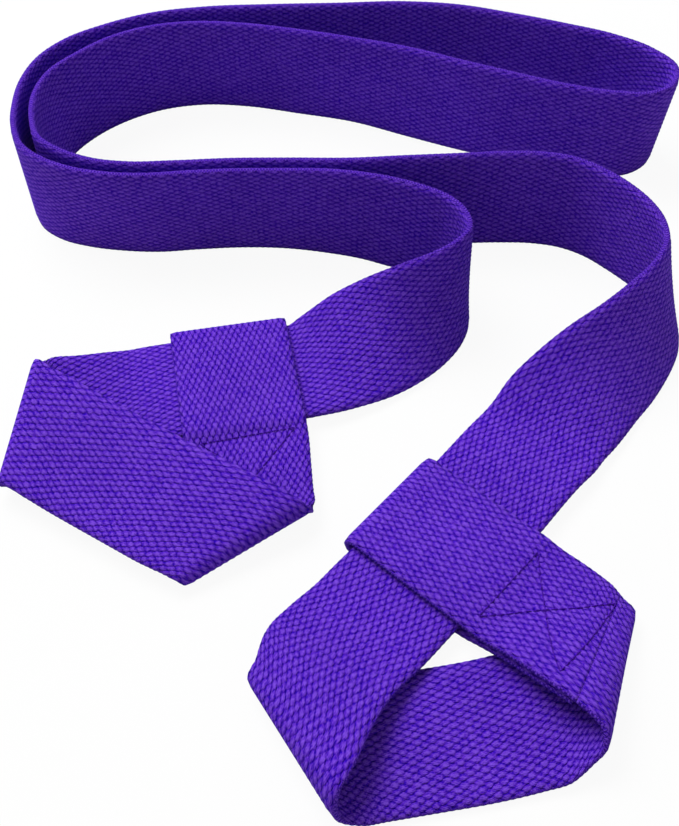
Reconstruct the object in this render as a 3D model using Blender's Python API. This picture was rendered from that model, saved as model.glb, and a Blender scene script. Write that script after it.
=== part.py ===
"""Stretching strap: one length of cotton webbing, laid out the way it was photographed.

Each end of the webbing is folded back over the strap and sewn down with two bars joined by a cross.
The fold is a flat tunnel, the keeper, and the strap runs through it to close a loop.
The middle of the strap stands on edge in long bends, then twists down flat at both keepers.

The strap is one smooth route from the left tail to the right tail. Each station of the route is
(x, y, lift, bearing, rise): a point in plan in mm, the height in mm of the lower selvage over the
floor, and the direction from the lower selvage to the other one, as a bearing and a rise in degrees.
"""

import math
from collections import namedtuple

import bmesh
import bpy
import numpy as np
from mathutils import Vector

MM = 0.001

# Webbing: its width and thickness, the bevel of its selvages, and the gap left between layers
WIDTH = 38.0
THICK = 2.4
EDGE = 0.7
CLEAR = 0.3

# Seams: the size of the stitched figure, its distance from the strap's centre line, and its thread
SEAM_WIDTH = 28.0
SEAM_LENGTH = 26.0
SEAM_START = 22.2
THREAD_WIDTH = 0.8
THREAD_THICK = 0.5
THREAD_CLEAR = 0.4
BAR_FACETS = 8
CROSS_FACETS = 6

# Layout: the middle of the stations' plan, which becomes the origin
LAYOUT_CENTRE = (3.7, 234.1)

# Facets: the longest and the most bent, and the stretch over which the width is evened out
LONGEST_STEP = 7.0
LARGEST_TURN = math.radians(12.0)
TRIAL_STEP = 0.25
FACETS_ACROSS = 3
EVENED_OVER = np.linspace(-8.0, 8.0, 9)
SHARP_ANGLE = math.radians(40.0)

# Keepers: where the strap's centre line passes through, and the bearing of the strap there
Keeper = namedtuple("Keeper", "centre bearing")
LEFT_KEEPER = Keeper((-32.5, 224.3), 10.5)
RIGHT_KEEPER = Keeper((30.8, 164.6), 49.0)

# Layers of a keeper, counted up from the floor
UNDER_STRAP = 0.0
STRAP_LIFT = THICK + CLEAR
OVER_STRAP = 2 * STRAP_LIFT
FOLD_RADIUS = OVER_STRAP / 2
FOLD_ANGLES = (-90, -45, 0, 45, 90)

# Flat stations of a keeper, from the strap's centre line towards the fold, and the tunnel's mouth
TUNNEL_MOUTH = -19.7
TUNNEL_START = -17.0
TUNNEL_FLAT = (TUNNEL_START, 0.0, 16.0)

PURPLE = (0.105, 0.032, 0.50, 1.0)
WEBBING_ROUGHNESS = 0.85
THREAD_PURPLE = (0.075, 0.014, 0.21, 1.0)
THREAD_ROUGHNESS = 0.7

LEFT_TAIL = [
    (-26.4, 174.3, 1.2, 8, 0),
    (-26.8, 179, 1.2, 8, 0),
    (-27.4, 190, 1.2, 9, 0),
    (-28.2, 200, 1.2, 10, 0),
    (-28.8, 203.6, 1.0, 10.5, 0),
]
LEFT_SEWN = [
    (-28.7, 203.6, 4.8, 10.5, 0),
    (-28.3, 201.3, 4.1, 10.5, 0),
    (-27.9, 198, 3.9, 10.5, 0),
    (-27.2, 189, 3.9, 11.5, 0),
    (-26.5, 180, 3.9, 14, 0),
    (-26.1, 174.5, 3.9, 18, 0.3),
]
LEFT_LOOP = [
    (-25.8, 171.7, 3.4, 21.5, 1.5),
    (-25.7, 169.2, 2.0, 25, 3.4),
    (-25.6, 166.4, 0.4, 30, 5.4),
    (-26.2, 163.7, 1.9, 32, 7),
    (-28.8, 164.4, 3.7, 33, 8.5),
    (-33.3, 166.8, 4.1, 36, 10),
    (-45, 173, 4.2, 46, 12),
    (-60, 181.6, 4.2, 58, 14),
    (-75, 190.4, 4.6, 68, 15),
    (-88, 198, 5.6, 76, 16.5),
    (-95, 202, 6.2, 78, 17.5),
    (-96.3, 203, 3.8, 79.5, 18),
    (-94.4, 204.4, 2.0, 82, 17.5),
]
LEFT_PASS = [
    (-90, 207.2, 1.2, 90, 15),
    (-75, 213.4, 1.9, 96, 6.5),
    (-62, 218.7, 2.7, 100.5, 0),
    (-47, 222.2, 2.7, 100.5, 0),
    (-32.7, 225.2, 2.7, 100.5, 0),
    (-18, 227.9, 2.7, 100.5, 0),
    (-13.6, 228.7, 2.7, 100.5, 0.3),
]
LEFT_TWIST = [
    (-9, 229.7, 2.6, 101.5, 5.5),
    (-4, 230.9, 2.1, 103.5, 12.5),
    (3, 232.6, 1.2, 107, 24),
    (11, 234.7, 0.2, 113.5, 36),
    (19, 237.2, 0, 123, 48),
    (27.5, 241.4, 0, 136, 60),
    (34.5, 246.4, 0, 150, 71),
    (39.2, 252.2, 0, 165, 80),
    (41.3, 259, 0, 180, 88),
]
FRONT_WALL = [
    (39.3, 267.3, 0, 200, 90),
    (34.5, 273.2, 0, 200, 90),
    (27, 277, 0, 80, 88),
    (18, 280.3, 0, 80, 87),
    (8, 283.5, 0, 80, 89),
    (-4, 285.8, 0, 270, 89),
    (-18, 287, 0, 270, 86),
    (-34, 287.2, 0, 270, 85),
    (-50, 286.2, 0, 270, 85),
    (-63, 285, 0, 270, 85),
    (-76, 285.6, 0, 270, 85),
    (-88, 287.9, 0, 265, 86),
    (-98, 292, 0, 250, 88),
    (-105.7, 298.4, 0, 200, 89),
]
OUTER_BEND = [
    (-110, 308, 0, 180, 89),
    (-112, 320, 0, 180, 90),
    (-111.6, 333, 0, 180, 90),
    (-107.5, 346.5, 0, 180, 90),
    (-99, 357.3, 0, 180, 90),
    (-87, 365.3, 0, 180, 90),
    (-71, 372.6, 0, 180, 90),
]
FAR_WALL = [
    (-50, 376.8, 0, 180, 90),
    (-26, 378.3, 0, 180, 90),
    (0, 379.2, 0, 180, 90),
    (24, 380.2, 0, 180, 90),
    (44, 378.3, 0, 180, 90),
    (64, 372.8, 0, 180, 90),
    (84, 366, 0, 180, 90),
    (100, 359.6, 0, 180, 90),
    (112, 351.2, 0, 0, 88),
    (118.4, 341, 0, 340, 86),
    (116.2, 332.6, 0, 310, 85),
    (108, 326.8, 0, 290, 87),
]
MIDDLE_WALL = [
    (96, 326.4, 0, 180, 90),
    (80, 330.2, 0, 180, 90),
    (62, 336.2, 0, 90, 88),
    (44, 343, 0, 90, 87),
    (26, 350.4, 0, 90, 87),
    (6, 357.6, 0, 270, 89),
    (-16, 363, 0, 270, 89),
    (-36, 367, 0, 270, 88),
    (-54, 368, 0, 270, 88),
    (-70, 365, 0, 270, 89),
]
INNER_BEND = [
    (-83, 358.6, 0, 90, 90),
    (-94, 349, 0, 90, 90),
    (-102, 338.3, 0, 180, 88),
    (-105.7, 326, 0, 180, 89),
    (-105, 313, 0, 180, 90),
    (-101, 303, 0, 200, 89),
    (-93, 296.6, 0, 240, 88),
]
SECOND_WALL = [
    (-82, 291.9, 0, 270, 87),
    (-70, 290, 0, 270, 87),
    (-54, 290.2, 0, 270, 88),
    (-36, 291, 0, 270, 89),
    (-16, 291.2, 0, 270, 89),
    (4, 290.9, 0, 270, 90),
    (22, 291.5, 0, 90, 88),
    (40, 292, 0, 90, 86),
    (56, 292.8, 0, 90, 85),
    (68, 292.4, 0, 90, 85),
    (78, 290, 0, 80, 86),
    (86, 285.2, 0, 60, 88),
    (93.5, 278, 0, 60, 89),
]
RIGHT_TWIST = [
    (99.5, 270.2, 0, 180, 88),
    (104.2, 261.7, 0, 178, 82),
    (106, 254, 0, 173, 76),
    (105, 247.6, 0, 168, 70),
    (102.2, 241.7, 0, 162, 64.5),
    (98.4, 236.4, 0, 156, 60),
    (94.2, 231.4, 0, 150, 56),
    (89.2, 226.2, 0, 144, 51),
    (80.9, 219.4, 0.2, 140.5, 41),
    (72.2, 212.1, 0.7, 139.5, 26),
]
RIGHT_PASS = [
    (66.2, 207.3, 1.3, 139, 13),
    (61.8, 202.2, 2.0, 139, 4),
    (57, 197.2, 2.7, 139, 0),
    (43.7, 181.4, 2.7, 139, 0),
    (30.8, 166, 2.7, 139, 0),
    (17.7, 150.8, 2.7, 139, 0),
    (13.6, 146.3, 2.7, 139, 0),
    (7.6, 139.4, 3.7, 137.5, -1.5),
    (-0.2, 130.8, 6.4, 134.5, -4),
]
RIGHT_LOOP = [
    (-5.2, 123.2, 9.4, 129.5, -7),
    (-8.5, 115.8, 12.0, 124, -10),
    (-10.9, 109.8, 12.2, 121.5, -10),
    (-12.3, 106, 7.6, 122, -5),
    (-10.4, 105, 2.2, 121.5, -1),
    (-4, 105, 0.2, 117, 0),
    (6, 106.2, 0, 106, 0),
    (22, 108.7, 0, 98, 0),
    (38, 111.6, 0, 96, 0),
    (50, 114.6, 0.4, 92, 0),
    (60, 118, 1.6, 86, -2),
    (67, 121.2, 4.4, 79, -6.2),
    (72.2, 122.8, 7.9, 72.5, -11),
    (73.1, 124.8, 11, 69, -12.5),
    (70.2, 128.2, 13.2, 66, -14),
]
RIGHT_SEWN = [
    (66, 132.8, 12.6, 59, -12),
    (61.5, 137.4, 10.4, 52, -8.5),
    (55, 143.6, 7.6, 49, -4.5),
    (51, 147, 6.0, 49, -2.2),
    (48.6, 149.1, 5.5, 49, -1),
    (46.2, 151.2, 5.4, 49, 0),
]
RIGHT_TAIL = [
    (46.2, 151.2, 0.6, 49, 0),
    (48.6, 149.1, 1.8, 49, -1),
    (51, 147, 2.9, 49, -2.2),
    (55, 143.6, 4.4, 49, -4.5),
    (61.5, 137.4, 7.3, 52, -8.5),
    (66, 132.8, 9.7, 59, -12),
    (67.8, 130.9, 10.3, 61.5, -13),
]


def tunnel(keeper, from_tail):
    """Stations of a keeper from its tail round the fold to its sewn layer, or the other way."""
    turn = math.radians(keeper.bearing + 90)
    x, y = keeper.centre

    def station(along, lift):
        return (x + along * math.cos(turn), y + along * math.sin(turn), lift, keeper.bearing, 0)

    fold = WIDTH / 2 + CLEAR
    stations = [station(along, UNDER_STRAP) for along in TUNNEL_FLAT]
    for angle in FOLD_ANGLES:
        along = fold + FOLD_RADIUS * math.cos(math.radians(angle))
        lift = FOLD_RADIUS + FOLD_RADIUS * math.sin(math.radians(angle))
        stations.append(station(along, lift))
    stations += [station(along, OVER_STRAP) for along in reversed(TUNNEL_FLAT)]
    stations.append(station(TUNNEL_MOUTH, OVER_STRAP))
    return stations if from_tail else stations[::-1]


LEFT_TUNNEL = tunnel(LEFT_KEEPER, from_tail=True)
RIGHT_TUNNEL = tunnel(RIGHT_KEEPER, from_tail=False)

# The route in order, and the name of the piece that each stretch belongs to
STRETCHES = [
    ("left_keeper_loop", LEFT_TAIL + LEFT_TUNNEL + LEFT_SEWN),
    ("left_loop_band", LEFT_LOOP),
    (
        "strap_band",
        LEFT_PASS + LEFT_TWIST + FRONT_WALL + OUTER_BEND + FAR_WALL + MIDDLE_WALL
        + INNER_BEND + SECOND_WALL + RIGHT_TWIST + RIGHT_PASS,
    ),
    ("right_loop_band", RIGHT_LOOP),
    ("right_keeper_loop", RIGHT_SEWN + RIGHT_TUNNEL + RIGHT_TAIL),
]


def unit(vectors):
    return vectors / np.linalg.norm(vectors, axis=-1, keepdims=True)


class Route:
    """A smooth ribbon through the stations, measured in mm along its centre line."""

    def __init__(self, stations):
        x, y, lift, bearing, rise = np.array(stations, float).T
        bearing, rise = np.radians(bearing), np.radians(rise)
        height = lift + WIDTH / 2 * np.sin(rise) + THICK / 2 * np.cos(rise)
        self.points = np.stack([x - LAYOUT_CENTRE[0], y - LAYOUT_CENTRE[1], height], axis=1)
        self.across = np.stack(
            [np.cos(rise) * np.cos(bearing), np.cos(rise) * np.sin(bearing), np.sin(rise)], axis=1
        )
        steps = np.linalg.norm(np.diff(self.points, axis=0), axis=1)
        self.marks = np.concatenate([[0.0], np.cumsum(steps)])

    def smooth(self, values, at, slope=False):
        """A curve through the values, or its slope; its height never overshoots a station."""
        marks = self.marks
        length = np.diff(marks)[:, None]
        chord = np.diff(values, axis=0) / length
        slopes = np.empty_like(values)
        slopes[0], slopes[-1] = chord[0], chord[-1]
        slopes[1:-1] = (chord[:-1] * length[1:] + chord[1:] * length[:-1]) / (length[:-1] + length[1:])
        before, after = chord[:-1, 2], chord[1:, 2]
        steepest = 2 * np.minimum(abs(before), abs(after)) * (before * after > 0)
        slopes[1:-1, 2] = np.clip(slopes[1:-1, 2], -steepest, steepest)
        i = np.clip(np.searchsorted(marks, at, side="right") - 1, 0, len(length) - 1)
        h = length[i]
        t = (at - marks[i])[:, None] / h
        a, b, m, n = values[i], values[i + 1], slopes[i] * h, slopes[i + 1] * h
        if slope:
            bend = 6 * t * t - 6 * t
            return (bend * (a - b) + (3 * t * t - 4 * t + 1) * m + (3 * t * t - 2 * t) * n) / h
        ease = t * t * (3 - 2 * t)
        return a + (b - a) * ease + t * (1 - t) ** 2 * m - t * t * (1 - t) * n

    def squareness(self, at):
        """How squarely the width crosses the route, evened out over the stretch nearby: 1 is square."""
        nearby = np.clip(at[:, None] + EVENED_OVER, self.marks[0], self.marks[-1]).ravel()
        across = unit(self.smooth(self.across, nearby))
        forward = unit(self.smooth(self.points, nearby, slope=True))
        square = np.linalg.norm(np.cross(forward, across), axis=1)
        return square.reshape(len(at), -1).mean(axis=1)

    def frame(self, at):
        """Centre, direction to the far selvage, face normal and half width at distances along."""
        at = np.atleast_1d(np.asarray(at, float))
        centre = self.smooth(self.points, at)
        across = unit(self.smooth(self.across, at))
        forward = self.smooth(self.points, at, slope=True)
        return centre, across, unit(np.cross(forward, across)), WIDTH / 2 / self.squareness(at)

    def rings(self, start, end):
        """Distances at which a stretch needs a cross-section: close together where it bends."""
        fine = np.linspace(start, end, max(3, int((end - start) / TRIAL_STEP)))
        normal = self.frame(fine)[2]
        turn = np.arccos(np.clip((normal[1:] * normal[:-1]).sum(axis=1), -1, 1))
        need = np.concatenate([[0.0], np.cumsum(np.diff(fine) / LONGEST_STEP + turn / LARGEST_TURN)])
        return np.interp(np.linspace(0, need[-1], max(2, math.ceil(need[-1])) + 1), need, fine)


ROUTE = Route([station for _, stations in STRETCHES for station in stations])


def mark_between(index):
    """Distance along the route halfway between two stations, where one piece hands on to the next."""
    return (ROUTE.marks[index - 1] + ROUTE.marks[index]) / 2


def clear_scene():
    for old in list(bpy.data.objects):
        bpy.data.objects.remove(old, do_unlink=True)


def material(name, colour, roughness):
    made = bpy.data.materials.new(name)
    made.use_nodes = True
    shader = made.node_tree.nodes["Principled BSDF"]
    shader.inputs["Base Color"].default_value = colour
    shader.inputs["Roughness"].default_value = roughness
    shader.inputs["Metallic"].default_value = 0.0
    return made


def add_object(name, shape, origin, colour, roughness):
    """Turns a bmesh in layout mm into an object in metres with its own origin and material."""
    bmesh.ops.recalc_face_normals(shape, faces=shape.faces)
    offset = Vector(origin)
    for vertex in shape.verts:
        vertex.co = (vertex.co - offset) * MM
    mesh = bpy.data.meshes.new(name)
    shape.to_mesh(mesh)
    shape.free()
    mesh.shade_smooth()
    mesh.set_sharp_from_angle(angle=SHARP_ANGLE)
    made = bpy.data.objects.new(name, mesh)
    made.location = offset * MM
    mesh.materials.append(material(name, colour, roughness))
    bpy.context.scene.collection.objects.link(made)
    return made


def keeper_origin(keeper):
    """A point on the strap's centre line inside the keeper's tunnel."""
    x, y = keeper.centre
    return (x - LAYOUT_CENTRE[0], y - LAYOUT_CENTRE[1], STRAP_LIFT + THICK / 2)


def add_ribbon(name, start, end, origin):
    """Sweeps the webbing's section, with its rounded selvages, along a stretch of the route."""
    rings = ROUTE.rings(start, end)
    shape = bmesh.new()
    loops = []
    for centre, across, normal, half in zip(*ROUTE.frame(rings)):
        flat = np.linspace(EDGE - half, half - EDGE, FACETS_ACROSS + 1)
        section = [(-half, EDGE - THICK / 2)]
        section += [(u, -THICK / 2) for u in flat]
        section += [(half, EDGE - THICK / 2), (half, THICK / 2 - EDGE)]
        section += [(u, THICK / 2) for u in flat[::-1]]
        section += [(-half, THICK / 2 - EDGE)]
        loops.append([shape.verts.new(centre + across * u + normal * v) for u, v in section])
    for a, b in zip(loops, loops[1:]):
        for i in range(len(a)):
            j = (i + 1) % len(a)
            shape.faces.new((a[i], a[j], b[j], b[i]))
    shape.faces.new(loops[0])
    shape.faces.new(loops[-1][::-1])
    return add_object(name, shape, origin, PURPLE, WEBBING_ROUGHNESS)


def strip(a, b, c, d, parts):
    """A flat bar from edge a-b to edge d-c, cut into parts along its length."""
    def mix(p, q, k):
        return (p[0] + (q[0] - p[0]) * k / parts, p[1] + (q[1] - p[1]) * k / parts)
    return [(mix(a, d, k), mix(b, c, k), mix(b, c, k + 1), mix(a, d, k + 1)) for k in range(parts)]


def seam_outline():
    """The faces of a flat seam, two bars joined by a cross, in (along, over) from 0 to its length and width."""
    half = THREAD_WIDTH / 2
    lean = math.hypot(SEAM_LENGTH, SEAM_WIDTH)
    by_end, by_side = half * lean / SEAM_WIDTH, half * lean / SEAM_LENGTH
    x, y = SEAM_LENGTH / 2, SEAM_WIDTH / 2
    faces = [((x - by_end, y), (x, y - by_side), (x + by_end, y), (x, y + by_side))]
    for along, inward in ((0.0, 1), (SEAM_LENGTH, -1)):
        bar = []
        for over, upward in ((0.0, 1), (SEAM_WIDTH, -1)):
            outer = (along - inward * half, over - upward * half)
            tip = (along + inward * half * (lean - SEAM_LENGTH) / SEAM_WIDTH, over - upward * half)
            inner = (along + inward * half, over + upward * (by_side + half * SEAM_WIDTH / SEAM_LENGTH))
            faces.append((outer, tip, inner))
            faces += strip(inner, tip, (x, y - upward * by_side), (x - inward * by_end, y), CROSS_FACETS)
            bar.append((outer, inner))
        (low_outer, low_inner), (high_outer, high_inner) = bar
        faces += strip(low_outer, low_inner, high_inner, high_outer, BAR_FACETS)
    return faces


def add_seam(name, start, sign, outward, origin):
    """Lays one thread of a seam on a face of the webbing; start and sign say where it runs."""
    shape = bmesh.new()
    found = {}

    def vertex(place, lift):
        key = (round(place[0], 4), round(place[1], 4), lift)
        if key not in found:
            centre, across, normal, _ = (rows[0] for rows in ROUTE.frame(start + sign * place[0]))
            over = place[1] - SEAM_WIDTH / 2
            found[key] = shape.verts.new(centre + across * over + normal * outward * lift)
        return found[key]

    low = THICK / 2 + THREAD_CLEAR
    high = low + THREAD_THICK
    edges = {}
    for face in seam_outline():
        shape.faces.new([vertex(place, high) for place in face])
        shape.faces.new([vertex(place, low) for place in face][::-1])
        for a, b in zip(face, face[1:] + face[:1]):
            key = frozenset(((round(a[0], 4), round(a[1], 4)), (round(b[0], 4), round(b[1], 4))))
            edges[key] = None if key in edges else (a, b)
    for edge in filter(None, edges.values()):
        a, b = edge
        shape.faces.new((vertex(b, high), vertex(a, high), vertex(a, low), vertex(b, low)))
    return add_object(name, shape, origin, THREAD_PURPLE, THREAD_ROUGHNESS)


def build():
    clear_scene()
    left, right = keeper_origin(LEFT_KEEPER), keeper_origin(RIGHT_KEEPER)
    origins = {"left_keeper_loop": left, "right_keeper_loop": right}
    start, count = 0.0, 0
    for name, stations in STRETCHES:
        count += len(stations)
        last = count == len(ROUTE.marks)
        end = ROUTE.marks[-1] if last else mark_between(count) - CLEAR / 2
        add_ribbon(name, start, end, origins.get(name, (0, 0, 0)))
        start = end + CLEAR
    under = SEAM_START + TUNNEL_START
    over = SEAM_START + TUNNEL_MOUTH
    left_start = len(LEFT_TAIL)
    left_end = left_start + len(LEFT_TUNNEL) - 1
    add_seam("left_bobbin_thread", ROUTE.marks[left_start] - under, -1, 1, left)
    add_seam("left_needle_thread", ROUTE.marks[left_end] + over, 1, 1, left)
    right_end = len(ROUTE.marks) - len(RIGHT_TAIL) - 1
    right_start = right_end - len(RIGHT_TUNNEL) + 1
    add_seam("right_needle_thread", ROUTE.marks[right_start] - over, -1, -1, right)
    add_seam("right_bobbin_thread", ROUTE.marks[right_end] + under, 1, -1, right)


build()
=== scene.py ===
"""Looks of the stretching strap: woven webbing, sewn keepers and a plain studio around them.

The webbing follows the same route as the solids, from the left tail to the right tail. Each station is
(x, y, lift, bearing, rise): a point in plan in mm, the height in mm of the lower selvage over the floor,
and the direction from the lower selvage to the other one, as a bearing and a rise in degrees.
"""

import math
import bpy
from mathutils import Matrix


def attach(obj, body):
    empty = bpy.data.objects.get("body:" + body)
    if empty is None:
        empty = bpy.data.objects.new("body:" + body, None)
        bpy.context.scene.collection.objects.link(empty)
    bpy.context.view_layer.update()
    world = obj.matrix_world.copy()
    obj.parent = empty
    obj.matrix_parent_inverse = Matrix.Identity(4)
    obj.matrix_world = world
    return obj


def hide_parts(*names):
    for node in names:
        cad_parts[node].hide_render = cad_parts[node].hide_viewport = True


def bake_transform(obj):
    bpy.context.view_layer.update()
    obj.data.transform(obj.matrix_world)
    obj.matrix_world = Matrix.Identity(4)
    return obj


bl_info = {
    "name": "Stretching strap",
    "version": (1, 0, 0),
    "blender": (4, 5, 0),
    "location": "View3D > Sidebar > Strap",
    "description": "Builds the woven strap, its loops, keepers and seams, and the stage",
    "category": "Object",
}

import bpy
import numpy as np
from mathutils import Vector

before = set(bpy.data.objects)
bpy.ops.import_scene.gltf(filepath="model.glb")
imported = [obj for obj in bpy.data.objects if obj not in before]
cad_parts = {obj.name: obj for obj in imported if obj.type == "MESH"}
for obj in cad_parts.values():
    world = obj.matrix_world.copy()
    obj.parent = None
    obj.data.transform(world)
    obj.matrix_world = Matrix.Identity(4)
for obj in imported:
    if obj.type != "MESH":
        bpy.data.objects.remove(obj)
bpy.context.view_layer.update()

MM = 0.001

# Webbing in mm: width, thickness, gap between layers, and the stretch over which the width is evened out
WIDTH = 38.0
THICK = 2.4
CLEAR = 0.3
EVENED_OVER = np.linspace(-8.0, 8.0, 9)
LAYOUT_CENTRE = (3.7, 234.1)

# Selvages: width, round section as (out from the edge, height), yarn turns per pair of rows, and scallops
SELVAGE_WIDTH = 1.5
SELVAGE_ROUND = [(-0.2, 0.82), (0.0, 0.0), (-0.2, -0.82)]
SELVAGE_BEADS = 4
SCALLOP = 0.12

# Keepers: where the strap's centre line passes through, and the bearing of the strap there
LEFT_KEEPER = ((-32.5, 224.3), 10.5)
RIGHT_KEEPER = ((30.8, 164.6), 49.0)
STRAP_LIFT = THICK + CLEAR
OVER_STRAP = 2 * STRAP_LIFT
FOLD_RADIUS = OVER_STRAP / 2
FOLD_ANGLES = (-90, -45, 0, 45, 90)

# Flat stations of a keeper, from the strap's centre line towards the fold, and the tunnel's mouth
TUNNEL_MOUTH = -19.7
TUNNEL_START = -17.0
TUNNEL_FLAT = (TUNNEL_START, 0.0, 16.0)

# Yarn crowns: how far one may lie from its place, in what sort of waves, and how distance from its middle
# counts along and across the weave, to reach about one where the corners of crowns meet
CROWN_JITTER = 0.26
WANDER_SCALE = 1.4
WANDER_DETAIL = 1.0
CROWN_SHAPE = (2.42, 2.0)

# Yarn colour: fibres along and across, patches of dye, how far chance and fibres move a point from crown to
# valley, where crown, side and valley lie on that way, and the dye's least tone and range; the crown carries
# painted sheen, and the side and valley carry painted shade
FIBRE_SCALE = (4.6, 9.2, 1.0)
DYE_SCALE = 38.0
NOISE_DETAIL = 3.0
CHANCE_REACH = 0.22
FIBRE_REACH = 3.0
YARN_STOPS = (0.15, 0.73, 0.96)
DYE_TONE = (0.85, 0.3)

# Cloth: least roughness and range, gloss, sheen, and the height of the weave with the fibres' share in it
CLOTH_ROUGHNESS = (0.62, 0.2)
CLOTH_SPECULAR = 0.03
SHEEN_WEIGHT = 0.02
SHEEN_ROUGHNESS = 0.45
SHEEN_TINT = (0.45, 0.32, 1.0, 1.0)
WEAVE_HEIGHT = 0.7 * MM
FIBRE_HEIGHT = 0.6

# Thread: its twist, shades of its colour and where they lie, least roughness and range, gloss, and bump
TWIST_SCALE = 2600.0
TWIST_DETAIL = 2.0
THREAD_SHADES = (0.6, 1.5)
THREAD_STOPS = (0.35, 0.65)
THREAD_ROUGHNESS = (0.4, 0.3)
THREAD_SPECULAR = 0.05
TWIST_STRENGTH = 0.4
TWIST_HEIGHT = 0.08 * MM

# Least room, in steps along the webbing, between a cut end and the next ring of points
END_ROOM = 0.3

# Seams: distance from the strap's centre line to the nearer bar, and the groove that the thread draws
SEAM_START = 22.2
SEAM_DENT = 0.26
SEAM_DENT_REACH = 0.8

# Stitches: sides and rings of each, the share of its pitch that it spans, how deep under the groove it starts
# and how far it rises in mm, the thread's share of its size at the needle holes, and how it arches and swells
STITCH_SIDES = 6
STITCH_RINGS = 7
STITCH_SPAN = (0.04, 0.96)
STITCH_DIP = 0.1
STITCH_RISE = 0.42
STITCH_THIN = 0.35
STITCH_ARCH = 0.7
STITCH_SWELL = 0.5

# Ends of the nearer bar, then of the farther bar, as (along the webbing, over from its centre line)
SEAM_ENDS = {
    "left": ((1.8, -14.0), (0.7, 15.0), (28.0, -7.5), (28.0, 12.5)),
    "right": ((-1.3, -13.9), (-0.8, 13.0), (23.5, -15.0), (28.3, 14.8)),
}

# Camera: focal length and height of the picture in pixels, place in the layout, angle below level, width of
# the sensor in mm, and the nearest distance it sees
CAMERA_FOCAL = 1130.0
PHOTO_HEIGHT = 826
CAMERA_PLACE = (0.0, 0.0, 283.0)
CAMERA_PITCH = 52.8
SENSOR_WIDTH = 36.0
CLIP_START = 0.01

# Floor: size and height in m, roughness, and the share of its look that is plain white, the rest taking the
# light and the shadow
FLOOR_SIZE = 6.0
FLOOR_HEIGHT = -0.0002
FLOOR_ROUGHNESS = 0.9
FLOOR_WHITE = 0.93

# Lamp: place and size in m
LAMP_PLACE = (-0.45, 0.50, 1.00)
LAMP_SIZE = (0.8, 0.6)

LEFT_TAIL = [
    (-26.4, 174.3, 1.2, 8, 0), (-26.8, 179, 1.2, 8, 0), (-27.4, 190, 1.2, 9, 0), (-28.2, 200, 1.2, 10, 0),
    (-28.8, 203.6, 1.0, 10.5, 0),
]
LEFT_SEWN = [
    (-28.7, 203.6, 4.8, 10.5, 0), (-28.3, 201.3, 4.1, 10.5, 0), (-27.9, 198, 3.9, 10.5, 0),
    (-27.2, 189, 3.9, 11.5, 0), (-26.5, 180, 3.9, 14, 0), (-26.1, 174.5, 3.9, 18, 0.3),
]
LEFT_LOOP = [
    (-25.8, 171.7, 3.4, 21.5, 1.5), (-25.7, 169.2, 2.0, 25, 3.4), (-25.6, 166.4, 0.4, 30, 5.4),
    (-26.2, 163.7, 1.9, 32, 7), (-28.8, 164.4, 3.7, 33, 8.5), (-33.3, 166.8, 4.1, 36, 10),
    (-45, 173, 4.2, 46, 12), (-60, 181.6, 4.2, 58, 14), (-75, 190.4, 4.6, 68, 15), (-88, 198, 5.6, 76, 16.5),
    (-95, 202, 6.2, 78, 17.5), (-96.3, 203, 3.8, 79.5, 18), (-94.4, 204.4, 2.0, 82, 17.5),
]
LEFT_PASS = [
    (-90, 207.2, 1.2, 90, 15), (-75, 213.4, 1.9, 96, 6.5), (-62, 218.7, 2.7, 100.5, 0),
    (-47, 222.2, 2.7, 100.5, 0), (-32.7, 225.2, 2.7, 100.5, 0), (-18, 227.9, 2.7, 100.5, 0),
    (-13.6, 228.7, 2.7, 100.5, 0.3),
]
LEFT_TWIST = [
    (-9, 229.7, 2.6, 101.5, 5.5), (-4, 230.9, 2.1, 103.5, 12.5), (3, 232.6, 1.2, 107, 24),
    (11, 234.7, 0.2, 113.5, 36), (19, 237.2, 0, 123, 48), (27.5, 241.4, 0, 136, 60),
    (34.5, 246.4, 0, 150, 71), (39.2, 252.2, 0, 165, 80), (41.3, 259, 0, 180, 88),
]
FRONT_WALL = [
    (39.3, 267.3, 0, 200, 90), (34.5, 273.2, 0, 200, 90), (27, 277, 0, 80, 88), (18, 280.3, 0, 80, 87),
    (8, 283.5, 0, 80, 89), (-4, 285.8, 0, 270, 89), (-18, 287, 0, 270, 86), (-34, 287.2, 0, 270, 85),
    (-50, 286.2, 0, 270, 85), (-63, 285, 0, 270, 85), (-76, 285.6, 0, 270, 85), (-88, 287.9, 0, 265, 86),
    (-98, 292, 0, 250, 88), (-105.7, 298.4, 0, 200, 89),
]
OUTER_BEND = [
    (-110, 308, 0, 180, 89), (-112, 320, 0, 180, 90), (-111.6, 333, 0, 180, 90), (-107.5, 346.5, 0, 180, 90),
    (-99, 357.3, 0, 180, 90), (-87, 365.3, 0, 180, 90), (-71, 372.6, 0, 180, 90),
]
FAR_WALL = [
    (-50, 376.8, 0, 180, 90), (-26, 378.3, 0, 180, 90), (0, 379.2, 0, 180, 90), (24, 380.2, 0, 180, 90),
    (44, 378.3, 0, 180, 90), (64, 372.8, 0, 180, 90), (84, 366, 0, 180, 90), (100, 359.6, 0, 180, 90),
    (112, 351.2, 0, 0, 88), (118.4, 341, 0, 340, 86), (116.2, 332.6, 0, 310, 85), (108, 326.8, 0, 290, 87),
]
MIDDLE_WALL = [
    (96, 326.4, 0, 180, 90), (80, 330.2, 0, 180, 90), (62, 336.2, 0, 90, 88), (44, 343, 0, 90, 87),
    (26, 350.4, 0, 90, 87), (6, 357.6, 0, 270, 89), (-16, 363, 0, 270, 89), (-36, 367, 0, 270, 88),
    (-54, 368, 0, 270, 88), (-70, 365, 0, 270, 89),
]
INNER_BEND = [
    (-83, 358.6, 0, 90, 90), (-94, 349, 0, 90, 90), (-102, 338.3, 0, 180, 88), (-105.7, 326, 0, 180, 89),
    (-105, 313, 0, 180, 90), (-101, 303, 0, 200, 89), (-93, 296.6, 0, 240, 88),
]
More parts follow.
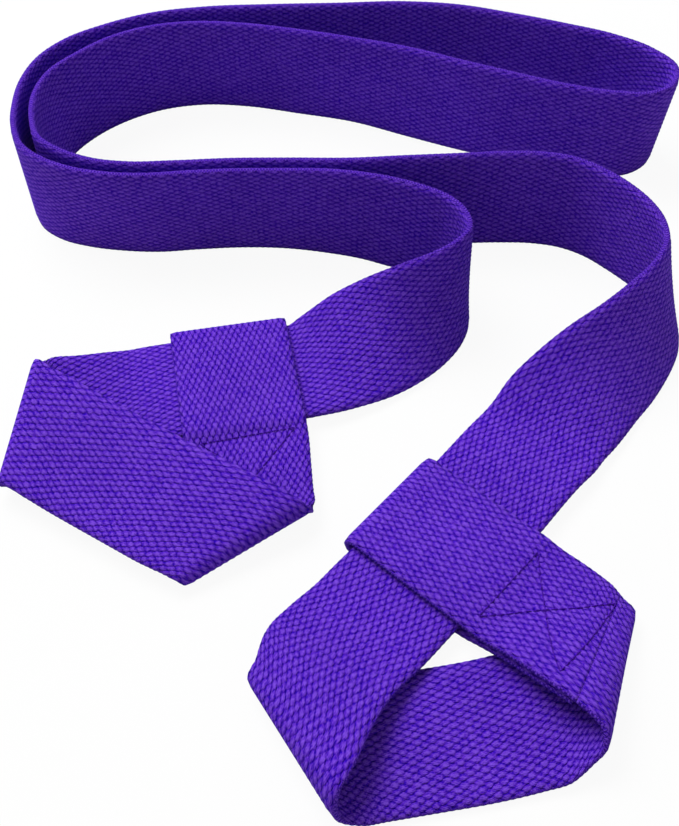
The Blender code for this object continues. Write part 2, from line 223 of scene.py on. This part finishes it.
SECOND_WALL = [
    (-82, 291.9, 0, 270, 87), (-70, 290, 0, 270, 87), (-54, 290.2, 0, 270, 88), (-36, 291, 0, 270, 89),
    (-16, 291.2, 0, 270, 89), (4, 290.9, 0, 270, 90), (22, 291.5, 0, 90, 88), (40, 292, 0, 90, 86),
    (56, 292.8, 0, 90, 85), (68, 292.4, 0, 90, 85), (78, 290, 0, 80, 86), (86, 285.2, 0, 60, 88),
    (93.5, 278, 0, 60, 89),
]
RIGHT_TWIST = [
    (99.5, 270.2, 0, 180, 88), (104.2, 261.7, 0, 178, 82), (106, 254, 0, 173, 76), (105, 247.6, 0, 168, 70),
    (102.2, 241.7, 0, 162, 64.5), (98.4, 236.4, 0, 156, 60), (94.2, 231.4, 0, 150, 56),
    (89.2, 226.2, 0, 144, 51), (80.9, 219.4, 0.2, 140.5, 41), (72.2, 212.1, 0.7, 139.5, 26),
]
RIGHT_PASS = [
    (66.2, 207.3, 1.3, 139, 13), (61.8, 202.2, 2.0, 139, 4), (57, 197.2, 2.7, 139, 0),
    (43.7, 181.4, 2.7, 139, 0), (30.8, 166, 2.7, 139, 0), (17.7, 150.8, 2.7, 139, 0),
    (13.6, 146.3, 2.7, 139, 0), (7.6, 139.4, 3.7, 137.5, -1.5), (-0.2, 130.8, 6.4, 134.5, -4),
]
RIGHT_LOOP = [
    (-5.2, 123.2, 9.4, 129.5, -7), (-8.5, 115.8, 12.0, 124, -10), (-10.9, 109.8, 12.2, 121.5, -10),
    (-12.3, 106, 7.6, 122, -5), (-10.4, 105, 2.2, 121.5, -1), (-4, 105, 0.2, 117, 0), (6, 106.2, 0, 106, 0),
    (22, 108.7, 0, 98, 0), (38, 111.6, 0, 96, 0), (50, 114.6, 0.4, 92, 0), (60, 118, 1.6, 86, -2),
    (67, 121.2, 4.4, 79, -6.2), (72.2, 122.8, 7.9, 72.5, -11), (73.1, 124.8, 11, 69, -12.5),
    (70.2, 128.2, 13.2, 66, -14),
]
RIGHT_SEWN = [
    (66, 132.8, 12.6, 59, -12), (61.5, 137.4, 10.4, 52, -8.5), (55, 143.6, 7.6, 49, -4.5),
    (51, 147, 6.0, 49, -2.2), (48.6, 149.1, 5.5, 49, -1), (46.2, 151.2, 5.4, 49, 0),
]
RIGHT_TAIL = [
    (46.2, 151.2, 0.6, 49, 0), (48.6, 149.1, 1.8, 49, -1), (51, 147, 2.9, 49, -2.2),
    (55, 143.6, 4.4, 49, -4.5), (61.5, 137.4, 7.3, 52, -8.5), (66, 132.8, 9.7, 59, -12),
    (67.8, 130.9, 10.3, 61.5, -13),
]


def tunnel(keeper, from_tail):
    """Stations of a keeper from its tail round the fold to its sewn layer, or the other way."""
    (x, y), bearing = keeper
    turn = math.radians(bearing + 90)

    def station(along, lift):
        return (x + along * math.cos(turn), y + along * math.sin(turn), lift, bearing, 0)

    fold = WIDTH / 2 + CLEAR
    stations = [station(along, 0) for along in TUNNEL_FLAT]
    for angle in FOLD_ANGLES:
        along = fold + FOLD_RADIUS * math.cos(math.radians(angle))
        stations.append(station(along, FOLD_RADIUS + FOLD_RADIUS * math.sin(math.radians(angle))))
    stations += [station(along, OVER_STRAP) for along in reversed(TUNNEL_FLAT)]
    stations.append(station(TUNNEL_MOUTH, OVER_STRAP))
    return stations if from_tail else stations[::-1]


LEFT_TUNNEL = tunnel(LEFT_KEEPER, from_tail=True)
RIGHT_TUNNEL = tunnel(RIGHT_KEEPER, from_tail=False)
STRETCHES = {
    "left_keeper_loop": LEFT_TAIL + LEFT_TUNNEL + LEFT_SEWN,
    "left_loop_band": LEFT_LOOP,
    "strap_band": (
        LEFT_PASS + LEFT_TWIST + FRONT_WALL + OUTER_BEND + FAR_WALL + MIDDLE_WALL
        + INNER_BEND + SECOND_WALL + RIGHT_TWIST + RIGHT_PASS
    ),
    "right_loop_band": RIGHT_LOOP,
    "right_keeper_loop": RIGHT_SEWN + RIGHT_TUNNEL + RIGHT_TAIL,
}


def unit(vectors):
    return vectors / np.linalg.norm(vectors, axis=-1, keepdims=True)


class Route:
    """A smooth ribbon through the stations, measured in mm along its centre line."""

    def __init__(self, stations):
        x, y, lift, bearing, rise = np.array(stations, float).T
        bearing, rise = np.radians(bearing), np.radians(rise)
        height = lift + WIDTH / 2 * np.sin(rise) + THICK / 2 * np.cos(rise)
        self.points = np.stack([x - LAYOUT_CENTRE[0], y - LAYOUT_CENTRE[1], height], axis=1)
        self.across = np.stack(
            [np.cos(rise) * np.cos(bearing), np.cos(rise) * np.sin(bearing), np.sin(rise)], axis=1
        )
        steps = np.linalg.norm(np.diff(self.points, axis=0), axis=1)
        self.marks = np.concatenate([[0.0], np.cumsum(steps)])

    def smooth(self, values, at, slope=False):
        """A curve through the values, or its slope; its height never overshoots a station."""
        marks = self.marks
        length = np.diff(marks)[:, None]
        chord = np.diff(values, axis=0) / length
        slopes = np.empty_like(values)
        slopes[0], slopes[-1] = chord[0], chord[-1]
        slopes[1:-1] = (chord[:-1] * length[1:] + chord[1:] * length[:-1]) / (length[:-1] + length[1:])
        before, after = chord[:-1, 2], chord[1:, 2]
        steepest = 2 * np.minimum(abs(before), abs(after)) * (before * after > 0)
        slopes[1:-1, 2] = np.clip(slopes[1:-1, 2], -steepest, steepest)
        i = np.clip(np.searchsorted(marks, at, side="right") - 1, 0, len(length) - 1)
        h = length[i]
        t = (at - marks[i])[:, None] / h
        a, b, m, n = values[i], values[i + 1], slopes[i] * h, slopes[i + 1] * h
        if slope:
            bend = 6 * t * t - 6 * t
            return (bend * (a - b) + (3 * t * t - 4 * t + 1) * m + (3 * t * t - 2 * t) * n) / h
        ease = t * t * (3 - 2 * t)
        return a + (b - a) * ease + t * (1 - t) ** 2 * m - t * t * (1 - t) * n

    def squareness(self, at):
        """How squarely the width crosses the route, evened out over the stretch nearby: 1 is square."""
        nearby = np.clip(at[:, None] + EVENED_OVER, self.marks[0], self.marks[-1]).ravel()
        across = unit(self.smooth(self.across, nearby))
        forward = unit(self.smooth(self.points, nearby, slope=True))
        square = np.linalg.norm(np.cross(forward, across), axis=1)
        return square.reshape(len(at), -1).mean(axis=1, keepdims=True)

    def frame(self, at):
        """Centre, direction to the far selvage, face normal and stretch of the width at distances along."""
        at = np.atleast_1d(np.asarray(at, float))
        centre = self.smooth(self.points, at)
        across = unit(self.smooth(self.across, at))
        forward = self.smooth(self.points, at, slope=True)
        return centre, across, unit(np.cross(forward, across)), 1 / self.squareness(at)

    def place(self, along, over, out):
        """Points in metres at distances along the route, over from its centre line and out of its face."""
        centre, across, normal, stretch = self.frame(along)
        return (centre + across * stretch * over[:, None] + normal * out[:, None]) * MM


ROUTE = Route([station for stations in STRETCHES.values() for station in stations])


def stretch_ends():
    """Start and end of each stretch along the route: pieces hand on halfway between two stations."""
    ends, count, start = {}, 0, 0.0
    for name, stations in STRETCHES.items():
        count += len(stations)
        last = count == len(ROUTE.marks)
        end = ROUTE.marks[-1] if last else (ROUTE.marks[count - 1] + ROUTE.marks[count]) / 2
        ends[name] = (start, end)
        start = end
    return ends


ENDS = stretch_ends()
LEFT_TUNNEL_START = len(LEFT_TAIL)
LEFT_TUNNEL_END = LEFT_TUNNEL_START + len(LEFT_TUNNEL) - 1
RIGHT_TUNNEL_END = len(ROUTE.marks) - len(RIGHT_TAIL) - 1
RIGHT_TUNNEL_START = RIGHT_TUNNEL_END - len(RIGHT_TUNNEL) + 1

UNDER_SEAM = SEAM_START + TUNNEL_START
OVER_SEAM = SEAM_START + TUNNEL_MOUTH

# Each seam thread: where it starts along the route, which way it runs, and the face it lies on
SEAMS = {
    "left_bobbin": (ROUTE.marks[LEFT_TUNNEL_START] - UNDER_SEAM, -1, 1),
    "left_needle": (ROUTE.marks[LEFT_TUNNEL_END] + OVER_SEAM, 1, 1),
    "right_needle": (ROUTE.marks[RIGHT_TUNNEL_START] - OVER_SEAM, -1, -1),
    "right_bobbin": (ROUTE.marks[RIGHT_TUNNEL_END] + UNDER_SEAM, 1, -1),
}


def seam_lines(seam):
    """The two bars and the cross of a seam as pairs of (along, over) ends on the webbing."""
    start, way, _ = SEAMS[seam]
    side = seam.split("_")[0]
    a, b, c, d = ((start + way * along, over) for along, over in SEAM_ENDS[side])
    return [(a, b), (c, d), (a, d), (b, c)]


class StrapSettings(bpy.types.PropertyGroup):
    row_pitch: bpy.props.FloatProperty(
        name="Row pitch", description="Distance between rows of yarn crowns along the webbing",
        default=2.04 * MM, unit="LENGTH", precision=5,
    )
    column_pitch: bpy.props.FloatProperty(
        name="Column pitch", description="Distance between columns of yarn crowns across the webbing",
        default=0.975 * MM, unit="LENGTH", precision=5,
    )
    relief: bpy.props.FloatProperty(
        name="Relief", description="How far a yarn crown stands over the middle of its face",
        default=0.09 * MM, unit="LENGTH", precision=5,
    )
    # The yarn's own colour with painted sheen: paler crowns stand in for the sheen of the cotton fuzz
    crown_colour_and_sheen: bpy.props.FloatVectorProperty(
        name="Crown colour", description="Colour of the yarn where it comes to the face",
        default=(0.156, 0.055, 0.578), subtype="COLOR", size=3, min=0, max=1,
    )
    # Painted shade: the yarn's colour darkened where the sides of a crown turn down into the valleys
    side_shade_colour: bpy.props.FloatVectorProperty(
        name="Side colour", description="Colour of the yarn on the sides of a crown",
        default=(0.083, 0.013, 0.450), subtype="COLOR", size=3, min=0, max=1,
    )
    # Painted shade: the yarn's colour darkened in the creases between the crowns
    valley_shade_colour: bpy.props.FloatVectorProperty(
        name="Valley colour", description="Colour of the yarn between the crowns",
        default=(0.020, 0.000, 0.370), subtype="COLOR", size=3, min=0, max=1,
    )
    stitch_length: bpy.props.FloatProperty(
        name="Stitch length", description="Distance from one needle hole to the next",
        default=2.4 * MM, unit="LENGTH", precision=5,
    )
    thread_size: bpy.props.FloatProperty(
        name="Thread size", description="Diameter of the sewing thread",
        default=0.36 * MM, unit="LENGTH", precision=5,
    )
    thread_colour: bpy.props.FloatVectorProperty(
        name="Thread colour", description="Colour of the sewing thread",
        default=(0.045, 0.004, 0.270), subtype="COLOR", size=3, min=0, max=1,
    )


class StageSettings(bpy.types.PropertyGroup):
    floor_colour: bpy.props.FloatVectorProperty(
        name="Floor colour", description="Colour of the floor",
        default=(0.65, 0.65, 0.65), subtype="COLOR", size=3, min=0, max=1,
    )
    lamp_power: bpy.props.FloatProperty(
        name="Lamp power", description="Power of the large soft lamp overhead",
        default=18.8, unit="POWER", min=0,
    )
    world_strength: bpy.props.FloatProperty(
        name="Room light", description="Strength of the even light from all round",
        default=0.51, min=0,
    )


def crown_pattern(settings, along, over):
    """Plus one on a yarn crown, minus one in a valley; rows are staggered by half a column pair."""
    rows = np.cos(np.pi * along / (settings.row_pitch / MM))
    columns = np.cos(np.pi * over / (settings.column_pitch / MM))
    return rows * columns


def dent_depth(along, over, lines):
    """How far a face is drawn in beside the lines of a seam, in mm."""
    depth = np.zeros(len(along))
    for (s0, b0), (s1, b1) in lines:
        d = np.array([s1 - s0, b1 - b0])
        length = np.hypot(*d)
        t = np.clip(((along - s0) * d[0] + (over - b0) * d[1]) / length**2, 0, 1)
        off = np.hypot(along - s0 - t * d[0], over - b0 - t * d[1])
        depth = np.maximum(depth, SEAM_DENT * np.exp(-((off / SEAM_DENT_REACH) ** 2)))
    return depth


def add_piece(name, points, faces, flat=0):
    """An object of the points and faces, shaded smooth apart from its last faces."""
    mesh = bpy.data.meshes.new(name)
    mesh.from_pydata(points, [], faces)
    smooth = np.ones(len(faces), bool)
    smooth[len(faces) - flat:] = False
    mesh.polygons.foreach_set("use_smooth", smooth)
    mesh.update()
    made = bpy.data.objects.new(name, mesh)
    bpy.context.scene.collection.objects.link(made)
    return made


def webbing_section(column):
    """Points round the webbing as (over, out): out is one on a face, and in mm on the round of a selvage."""
    last = int((WIDTH / 2 - SELVAGE_WIDTH) / column)
    over = np.arange(-last, last + 1) * column
    far = [(WIDTH / 2 + inward, out) for inward, out in SELVAGE_ROUND]
    near = [(-u, v) for u, v in far]
    return np.array([(u, -1.0) for u in over] + far[::-1] + [(u, 1.0) for u in over[::-1]] + near)


def weave_coordinates(settings, along, section):
    """Place of each face's corners in the weave, counted in pairs of rows and of columns.

    The lower face is shifted by half a pair, and the yarn turns more often round a selvage.
    """
    count = len(section)
    after = np.roll(np.arange(count), -1)
    rows = along / (2 * settings.row_pitch / MM)
    pair = 2 * settings.column_pitch / MM
    low_side = section[:, 1] + section[after, 1] < 0
    columns = section[:, 0] / pair
    across = np.stack([columns, columns[after]], axis=1) + np.where(low_side, 0.5, 0.0)[:, None]
    at_edge = abs(section[:, 1]) < 1
    turning = at_edge & at_edge[after]
    across[turning] = np.stack([section[:, 1], section[after, 1]], axis=1)[turning] / pair
    beads = np.where(turning, SELVAGE_BEADS, 1)
    corners = np.empty((len(along) - 1, count, 4, 2))
    corners[:, :, :2, 0] = (rows[:-1, None] * beads)[..., None]
    corners[:, :, 2:, 0] = (rows[1:, None] * beads)[..., None]
    corners[..., 1] = across[:, [0, 1, 1, 0]]
    return corners.reshape(-1, 2)


def webbing_mesh(name, start, end, settings, seams=()):
    """Woven webbing along a stretch of the route: both faces with their yarn crowns, and round selvages."""
    row = settings.row_pitch / MM
    step = row / 2
    relief = settings.relief / MM
    first, last = math.ceil(start / step + END_ROOM), math.floor(end / step - END_ROOM)
    along = np.concatenate([[start], np.arange(first, last + 1) * step, [end]])
    section = webbing_section(settings.column_pitch / MM)
    count = len(section)
    s = np.repeat(along, count)
    u, v = np.tile(section, (len(along), 1)).T
    on_face = abs(v) == 1.0
    face = np.sign(v)
    crown = crown_pattern(settings, s, u) * face
    out = np.where(on_face, face * (THICK / 2 - relief + relief * crown), v)
    for seam in seams:
        outward = SEAMS[seam][2]
        drawn = dent_depth(s, u, seam_lines(seam))
        out = out - np.where(on_face & (face == outward), outward * drawn, 0)
    drawn_in = SCALLOP * (1 - np.cos(2 * np.pi * s / row)) / 2
    u = np.where(on_face, u, u - np.sign(u) * drawn_in)

    ring = np.arange(count)
    after = np.roll(ring, -1)
    base = (np.arange(len(along) - 1) * count)[:, None]
    quads = np.stack([base + ring, base + after, base + count + after, base + count + ring], axis=2)
    caps = [ring[::-1].tolist(), ((len(along) - 1) * count + ring).tolist()]
    faces = quads.reshape(-1, 4).tolist() + caps
    made = add_piece(name, ROUTE.place(s, u, out).tolist(), faces, flat=len(caps))
    layer = made.data.uv_layers.new(name="weave")
    coordinates = np.concatenate([weave_coordinates(settings, along, section), np.zeros((2 * count, 2))])
    layer.data.foreach_set("uv", coordinates.astype(np.float32).ravel())
    return made


def stitch_mesh(name, seam, settings):
    """The stitches of one thread: each dips into the webbing at its two needle holes."""
    pitch = settings.stitch_length / MM
    radius = settings.thread_size / MM / 2
    outward = SEAMS[seam][2]
    t = np.linspace(*STITCH_SPAN, STITCH_RINGS)
    hump = np.sin(np.pi * t)
    lift = THICK / 2 - SEAM_DENT - STITCH_DIP + STITCH_RISE * hump**STITCH_ARCH
    thick = radius * (STITCH_THIN + (1 - STITCH_THIN) * hump**STITCH_SWELL)
    turns = outward * np.arange(STITCH_SIDES) * 2 * np.pi / STITCH_SIDES
    side = np.arange(STITCH_SIDES) * STITCH_RINGS
    ring = np.arange(STITCH_RINGS - 1)[:, None]
    one, other = side + ring, np.roll(side, -1) + ring
    tube = np.stack([one, other, other + 1, one + 1], axis=2).reshape(-1, 4)
    points, faces = [], []
    for (s0, b0), (s1, b1) in seam_lines(seam):
        length = math.hypot(s1 - s0, b1 - b0)
        stitches = max(1, round(length / pitch))
        way = np.array([s1 - s0, b1 - b0]) / length
        aside = np.array([-way[1], way[0]])
        for k in range(stitches):
            middle = np.array([s0, b0]) + np.outer((k + t) / stitches * length, way)
            base = len(points)
            for turn in turns:
                place = middle + aside * (thick * np.cos(turn))[:, None]
                rise = lift + thick * np.sin(turn)
                points += ROUTE.place(place[:, 0], place[:, 1], outward * rise).tolist()
            faces += (base + tube).tolist()
            faces.append((base + side[::-1]).tolist())
            faces.append((base + side + STITCH_RINGS - 1).tolist())
    return add_piece(name, points, faces)


class Nodes:
    """Short ways to add and join the nodes of one material."""

    def __init__(self, material):
        material.use_nodes = True
        self.tree = material.node_tree
        self.shader = self.tree.nodes["Principled BSDF"]

    def add(self, kind, **settings):
        node = self.tree.nodes.new(kind)
        for key, value in settings.items():
            setattr(node, key, value)
        return node

    def join(self, source, target):
        self.tree.links.new(source, target)

    def feed(self, socket, value):
        if isinstance(value, bpy.types.NodeSocket):
            self.join(value, socket)
        else:
            socket.default_value = value

    def maths(self, operation, a, b=0.0, c=0.0):
        node = self.add("ShaderNodeMath", operation=operation)
        for socket, value in zip(node.inputs, (a, b, c)):
            self.feed(socket, value)
        return node.outputs[0]

    def ramp(self, value, stops):
        node = self.add("ShaderNodeValToRGB")
        node.color_ramp.interpolation = "EASE"
        for element, (position, colour) in zip(node.color_ramp.elements, (stops[0], stops[-1])):
            element.position, element.color = position, colour
        for position, colour in stops[1:-1]:
            node.color_ramp.elements.new(position).color = colour
        self.join(value, node.inputs["Fac"])
        return node.outputs["Color"]

    def scaled(self, colour, factor):
        node = self.add("ShaderNodeVectorMath", operation="SCALE")
        self.join(colour, node.inputs[0])
        self.join(factor, node.inputs["Scale"])
        return node.outputs[0]

    def vector(self, operation, *values):
        node = self.add("ShaderNodeVectorMath", operation=operation)
        for socket, value in zip(node.inputs, values):
            self.feed(socket, value)
        return node.outputs["Value" if operation == "LENGTH" else "Vector"]

    def nearest_crown(self, weave):
        """Distance to the nearest of the staggered yarn crowns, and the place of that crown."""
        found = []
        for shift in (0.0, 0.5):
            moved = self.vector("ADD", weave, (shift, shift, 0))
            local = self.vector("WRAP", moved, (0.5, 0.5, 0.5), (-0.5, -0.5, -0.5))
            away = self.vector("LENGTH", self.vector("MULTIPLY", local, (*CROWN_SHAPE, 0.0)))
            found.append((away, self.vector("SUBTRACT", weave, local)))
        (one, here), (other, there) = found
        pick = self.add("ShaderNodeMix", data_type="VECTOR")
        self.join(self.maths("LESS_THAN", other, one), pick.inputs["Factor"])
        self.join(here, pick.inputs[4])
        self.join(there, pick.inputs[5])
        return self.maths("MINIMUM", one, other), pick.outputs[1]

    def noise(self, vector, scale, detail, output="Fac", **settings):
        node = self.add("ShaderNodeTexNoise", **settings)
        self.join(vector, node.inputs["Vector"])
        node.inputs["Scale"].default_value = scale
        node.inputs["Detail"].default_value = detail
        return node.outputs[output]

    def spread(self, value, least, reach):
        """Least plus reach times the value."""
        return self.maths("MULTIPLY_ADD", value, reach, least)

    def bump(self, height, strength, distance):
        node = self.add("ShaderNodeBump")
        node.inputs["Strength"].default_value = strength
        node.inputs["Distance"].default_value = distance
        self.join(height, node.inputs["Height"])
        self.join(node.outputs[0], self.shader.inputs["Normal"])


def grey(value):
    return (value, value, value, 1.0)


def webbing_material(settings):
    """Purple cotton: staggered yarn crowns with painted sheen, painted shade between them, each a little
    different, with short fibres.
    """
    found = bpy.data.materials.get("purple_webbing")
    if found:
        return found
    made = bpy.data.materials.new("purple_webbing")
    n = Nodes(made)
    weave = n.add("ShaderNodeUVMap", uv_map="weave").outputs["UV"]
    place = n.add("ShaderNodeTexCoord").outputs["Object"]
    wander = n.noise(weave, WANDER_SCALE, WANDER_DETAIL, output="Color", noise_dimensions="2D")
    steady = n.vector("SUBTRACT", weave, (CROWN_JITTER / 2,) * 3)
    shifted = n.vector("MULTIPLY_ADD", wander, (CROWN_JITTER,) * 3, steady)
    away, cell = n.nearest_crown(shifted)
    chance = n.add("ShaderNodeTexWhiteNoise", noise_dimensions="2D")
    n.join(cell, chance.inputs["Vector"])
    stretched = n.add("ShaderNodeMapping")
    n.join(weave, stretched.inputs["Vector"])
    stretched.inputs["Scale"].default_value = FIBRE_SCALE
    fibre = n.noise(stretched.outputs[0], 1.0, NOISE_DETAIL)
    dye = n.noise(place, DYE_SCALE, NOISE_DETAIL)

    depth = n.spread(n.maths("SUBTRACT", 0.5, chance.outputs["Value"]), away, CHANCE_REACH)
    depth = n.spread(n.maths("SUBTRACT", 0.5, fibre), depth, FIBRE_REACH)
    colours = settings.crown_colour_and_sheen, settings.side_shade_colour, settings.valley_shade_colour
    # Painted sheen on the crowns, painted shade on their sides and in the valleys between them
    yarn = n.ramp(depth, [(stop, (*colour, 1.0)) for stop, colour in zip(YARN_STOPS, colours)])
    n.join(n.scaled(yarn, n.spread(dye, *DYE_TONE)), n.shader.inputs["Base Color"])

    n.join(n.spread(fibre, *CLOTH_ROUGHNESS), n.shader.inputs["Roughness"])
    n.shader.inputs["Specular IOR Level"].default_value = CLOTH_SPECULAR
    n.shader.inputs["Sheen Weight"].default_value = SHEEN_WEIGHT
    n.shader.inputs["Sheen Roughness"].default_value = SHEEN_ROUGHNESS
    n.shader.inputs["Sheen Tint"].default_value = SHEEN_TINT
    flat_top = n.maths("MULTIPLY", n.maths("POWER", away, 3.0), -1.0)
    n.bump(n.spread(fibre, flat_top, FIBRE_HEIGHT), 1.0, WEAVE_HEIGHT)
    return made


def thread_material(settings):
    """Dark twisted sewing thread, nearly without gloss."""
    found = bpy.data.materials.get("seam_thread")
    if found:
        return found
    made = bpy.data.materials.new("seam_thread")
    n = Nodes(made)
    place = n.add("ShaderNodeTexCoord").outputs["Object"]
    twist = n.noise(place, TWIST_SCALE, TWIST_DETAIL)
    shades = [(*(shade * c for c in settings.thread_colour), 1.0) for shade in THREAD_SHADES]
    n.join(n.ramp(twist, list(zip(THREAD_STOPS, shades))), n.shader.inputs["Base Color"])
    n.join(n.spread(twist, *THREAD_ROUGHNESS), n.shader.inputs["Roughness"])
    n.shader.inputs["Specular IOR Level"].default_value = THREAD_SPECULAR
    n.bump(twist, TWIST_STRENGTH, TWIST_HEIGHT)
    return made


def finish_webbing(piece, node):
    """Gives a webbing piece its cloth and lets it stand for its solid."""
    piece.data.materials.append(webbing_material(bpy.context.scene.strap_settings))
    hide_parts(node)


def layout(x, y, z):
    """A point of the layout, in mm, as a point of the frame in metres."""
    return ((x - LAYOUT_CENTRE[0]) * MM, (y - LAYOUT_CENTRE[1]) * MM, z * MM)


class STRAP_OT_band(bpy.types.Operator):
    """Weaves the strap between its two loops"""

    bl_idname = "strap.band"
    bl_label = "Strap band"

    def execute(self, context):
        piece = webbing_mesh("strap_webbing", *ENDS["strap_band"], context.scene.strap_settings)
        finish_webbing(piece, "strap_band")
        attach(piece, "strap")
        return {"FINISHED"}


class STRAP_OT_loops(bpy.types.Operator):
    """Weaves the band of each end loop, which bends between the strap and its keeper"""

    bl_idname = "strap.loops"
    bl_label = "Loop bands"

    def execute(self, context):
        settings = context.scene.strap_settings
        left = webbing_mesh("left_loop_webbing", *ENDS["left_loop_band"], settings)
        finish_webbing(left, "left_loop_band")
        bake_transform(left)
        right = webbing_mesh("right_loop_webbing", *ENDS["right_loop_band"], settings)
        finish_webbing(right, "right_loop_band")
        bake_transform(right)
        return {"FINISHED"}


class STRAP_OT_keepers(bpy.types.Operator):
    """Weaves the two keepers, each folded over the strap and drawn in along its seam"""

    bl_idname = "strap.keepers"
    bl_label = "Keepers"

    def execute(self, context):
        settings = context.scene.strap_settings
        for side in ("left", "right"):
            node = f"{side}_keeper_loop"
            seams = (f"{side}_needle", f"{side}_bobbin")
            piece = webbing_mesh(f"{side}_keeper_webbing", *ENDS[node], settings, seams)
            finish_webbing(piece, node)
            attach(piece, f"{side}_keeper")
        return {"FINISHED"}


class STRAP_OT_seams(bpy.types.Operator):
    """Sews the two bars and the cross of each keeper, on both faces"""

    bl_idname = "strap.seams"
    bl_label = "Seams"

    def execute(self, context):
        settings = context.scene.strap_settings
        for seam in SEAMS:
            side = seam.split("_")[0]
            piece = stitch_mesh(f"{seam}_stitches", seam, settings)
            piece.data.materials.append(thread_material(settings))
            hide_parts(f"{seam}_thread")
            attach(piece, f"{side}_keeper")
        return {"FINISHED"}


def floor_material(settings):
    """Pale floor that the camera sees nearly white and that keeps a soft shadow."""
    made = bpy.data.materials.new("pale_floor")
    n = Nodes(made)
    n.shader.inputs["Base Color"].default_value = (*settings.floor_colour, 1.0)
    n.shader.inputs["Roughness"].default_value = FLOOR_ROUGHNESS
    n.shader.inputs["Specular IOR Level"].default_value = 0.0
    white = n.add("ShaderNodeEmission")
    mix = n.add("ShaderNodeMixShader")
    n.join(n.maths("MULTIPLY", seen_directly(n), FLOOR_WHITE), mix.inputs[0])
    n.join(n.shader.outputs[0], mix.inputs[1])
    n.join(white.outputs[0], mix.inputs[2])
    n.join(mix.outputs[0], n.tree.nodes["Material Output"].inputs["Surface"])
    return made


def seen_directly(n):
    """One for rays from the camera, or seen in gloss or through glass."""
    path = n.add("ShaderNodeLightPath")
    glossy = n.maths("MAXIMUM", path.outputs["Is Glossy Ray"], path.outputs["Is Transmission Ray"])
    return n.maths("MAXIMUM", path.outputs["Is Camera Ray"], glossy)


class STRAP_OT_stage(bpy.types.Operator):
    """Sets the floor, the even room light, the overhead lamp and the camera"""

    bl_idname = "strap.stage"
    bl_label = "Stage"

    def execute(self, context):
        settings = context.scene.stage_settings
        bpy.ops.mesh.primitive_plane_add(size=FLOOR_SIZE, location=(0, 0, FLOOR_HEIGHT))
        floor = context.object
        floor.name = "studio_floor"
        floor.data.materials.append(floor_material(settings))

        world = bpy.data.worlds.new("white_room")
        context.scene.world = world
        world.use_nodes = True
        tree = world.node_tree
        light = tree.nodes["Background"]
        light.inputs["Strength"].default_value = settings.world_strength
        light.inputs["Color"].default_value = grey(1.0)
        white = tree.nodes.new("ShaderNodeBackground")
        white.inputs["Color"].default_value = grey(1.0)
        path = tree.nodes.new("ShaderNodeLightPath")
        mix = tree.nodes.new("ShaderNodeMixShader")
        tree.links.new(path.outputs["Is Camera Ray"], mix.inputs[0])
        tree.links.new(light.outputs[0], mix.inputs[1])
        tree.links.new(white.outputs[0], mix.inputs[2])
        tree.links.new(mix.outputs[0], tree.nodes["World Output"].inputs["Surface"])

        lamp = bpy.data.lights.new("overhead_lamp", "AREA")
        lamp.shape = "RECTANGLE"
        lamp.size, lamp.size_y = LAMP_SIZE
        lamp.energy = settings.lamp_power
        hung = bpy.data.objects.new("overhead_lamp", lamp)
        hung.location = LAMP_PLACE
        hung.rotation_euler = (-Vector(LAMP_PLACE)).to_track_quat("-Z", "Y").to_euler()
        context.scene.collection.objects.link(hung)

        lens = bpy.data.cameras.new("photo_camera")
        lens.sensor_fit = "AUTO"
        lens.sensor_width = SENSOR_WIDTH
        lens.lens = SENSOR_WIDTH * CAMERA_FOCAL / PHOTO_HEIGHT
        lens.clip_start = CLIP_START
        camera = bpy.data.objects.new("photo_camera", lens)
        camera.location = layout(*CAMERA_PLACE)
        camera.rotation_euler = (math.radians(90 - CAMERA_PITCH), 0, 0)
        context.scene.collection.objects.link(camera)
        context.scene.camera = camera
        context.scene.view_settings.view_transform = "Standard"
        return {"FINISHED"}


class STRAP_PT_panel(bpy.types.Panel):
    """Sizes, colours and building steps of the strap"""

    bl_idname = "STRAP_PT_panel"
    bl_label = "Stretching strap"
    bl_space_type = "VIEW_3D"
    bl_region_type = "UI"
    bl_category = "Strap"

    def draw(self, context):
        for group in (context.scene.strap_settings, context.scene.stage_settings):
            for name in group.__annotations__:
                self.layout.prop(group, name)
        for operator in OPERATORS:
            self.layout.operator(operator.bl_idname)


OPERATORS = (STRAP_OT_band, STRAP_OT_loops, STRAP_OT_keepers, STRAP_OT_seams, STRAP_OT_stage)
CLASSES = (StrapSettings, StageSettings, *OPERATORS, STRAP_PT_panel)


def register():
    for kind in CLASSES:
        bpy.utils.register_class(kind)
    bpy.types.Scene.strap_settings = bpy.props.PointerProperty(type=StrapSettings)
    bpy.types.Scene.stage_settings = bpy.props.PointerProperty(type=StageSettings)


def unregister():
    del bpy.types.Scene.stage_settings
    del bpy.types.Scene.strap_settings
    for kind in reversed(CLASSES):
        bpy.utils.unregister_class(kind)


def main():
    register()
    bpy.ops.strap.stage()
    bpy.ops.strap.band()
    bpy.ops.strap.loops()
    bpy.ops.strap.keepers()
    bpy.ops.strap.seams()


if __name__ == "__main__":
    main()
